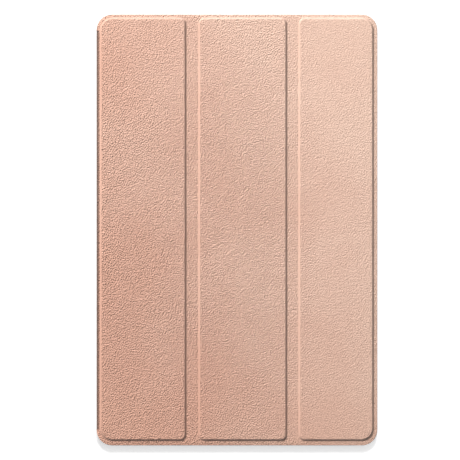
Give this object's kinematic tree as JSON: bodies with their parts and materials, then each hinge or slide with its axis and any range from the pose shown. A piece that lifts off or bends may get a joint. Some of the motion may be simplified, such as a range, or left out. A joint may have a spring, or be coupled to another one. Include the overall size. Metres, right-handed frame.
{
  "type": "tablet computer in a folio cover",
  "caption": "Slim tablet computer closed inside a grained folio cover that folds in panels from a hinged spine, with side keys, a card tray and a charging port.",
  "frame": {"origin": "centre of the back face, on the surface that the closed cover lies on", "axes": "+X towards the free edge of the cover, -X the spine, +Y towards the top edge, +Z out of the front panels"},
  "size_m": [0.1676, 0.257, 0.0116],
  "materials": {
    "leatherette": "rose-gold grained leatherette, satin",
    "lining": "brushed microfibre",
    "board": "pressed fibre board",
    "shell_plastic": "fine moulded grain",
    "dark_plastic": "moulded",
    "housing": "bead-blasted, anodised",
    "frame_metal": "cast and machined",
    "steel": "plain stamped",
    "magnet": "nickel plated",
    "contact_gold": "gold plated",
    "display": "dark laminated display",
    "front_glass": "polished, black behind",
    "lens": "coated",
    "light_guide": "clear sheet on a white reflector",
    "circuit_board": "solder mask",
    "ribbon": "polyimide film",
    "cell": "foil pouch",
    "adhesive": "foam tape",
    "gasket": "adhesive foam"
  },
  "bodies": {
    "tablet": {"back_skin": "leatherette", "back_shell": "shell_plastic", "rear_housing": "housing", "cover_glass": "front_glass", "usb_c_port": "steel", "rear_camera_ring": "housing", "rear_camera_lens": "lens", "mid_frame": "frame_metal", "backlight_unit": "light_guide", "display_panel": "display", "touch_sensor": "display", "glass_gasket": "gasket", "battery_left": "cell", "battery_right": "cell", "battery_adhesive": "adhesive", "battery_board": "circuit_board", "main_board": "circuit_board", "main_chips": "dark_plastic", "shield_cans": "steel", "lower_board": "circuit_board", "board_ribbon": "ribbon", "display_ribbon": "ribbon", "board_screws": "steel", "card_reader": "steel", "speaker_top_left": "dark_plastic", "speaker_top_right": "dark_plastic", "speaker_bottom_left": "dark_plastic", "speaker_bottom_right": "dark_plastic", "speaker_meshes": "dark_plastic", "microphones": "contact_gold", "antennas": "dark_plastic", "hall_sensor": "dark_plastic", "front_camera": "dark_plastic", "light_sensor": "dark_plastic", "rear_camera": "dark_plastic", "side_key_bracket": "steel", "dome_switches": "contact_gold"},
    "spine": {"spine_skin": "leatherette", "spine_board": "board", "spine_lining": "lining"},
    "panel_1": {"panel_1_skin": "leatherette", "panel_1_board": "board", "panel_1_lining": "lining"},
    "panel_2": {"panel_2_skin": "leatherette", "panel_2_board": "board", "panel_2_lining": "lining"},
    "panel_3": {"panel_3_skin": "leatherette", "panel_3_board": "board", "panel_3_lining": "lining", "closing_magnets": "magnet", "wake_magnet": "magnet"},
    "power_key": {"power_button": "housing"},
    "volume_key": {"volume_rocker": "housing"},
    "tray": {"card_tray": "housing"}
  },
  "joints": [
    {"name": "spine_hinge", "type": "hinge", "parent": "tablet", "child": "spine", "pos_m": [-0.0839, 0, -0.00015], "axis": [0, 1, 0], "range_deg": [-265, 0]},
    {"name": "cover_hinge", "type": "hinge", "parent": "spine", "child": "panel_1", "pos_m": [-0.08336, 0, 0.01041], "axis": [0, 1, 0], "range_deg": [-90, 0]},
    {"name": "fold_1", "type": "hinge", "parent": "panel_1", "child": "panel_2", "pos_m": [-0.02665, 0, 0.0108], "axis": [0, -1, 0], "range_deg": [0, 124]},
    {"name": "fold_2", "type": "hinge", "parent": "panel_2", "child": "panel_3", "pos_m": [0.03325, 0, 0.0108], "axis": [0, -1, 0], "range_deg": [0, 124]},
    {"name": "power_press", "type": "slide", "parent": "tablet", "child": "power_key", "axis": [-1, 0, 0], "range_m": [0, 0.0003], "stiffness_N_per_m": 2000, "springref_m": -0.0002},
    {"name": "volume_tilt", "type": "hinge", "parent": "tablet", "child": "volume_key", "pos_m": [0.0795, 0.052, 0.0054], "axis": [0, 0, 1], "range_deg": [-1.5, 1.5], "stiffness_Nm_per_rad": 0.4},
    {"name": "tray_slide", "type": "slide", "parent": "tablet", "child": "tray", "axis": [1, 0, 0], "range_m": [0, 0.024]}
  ]
}
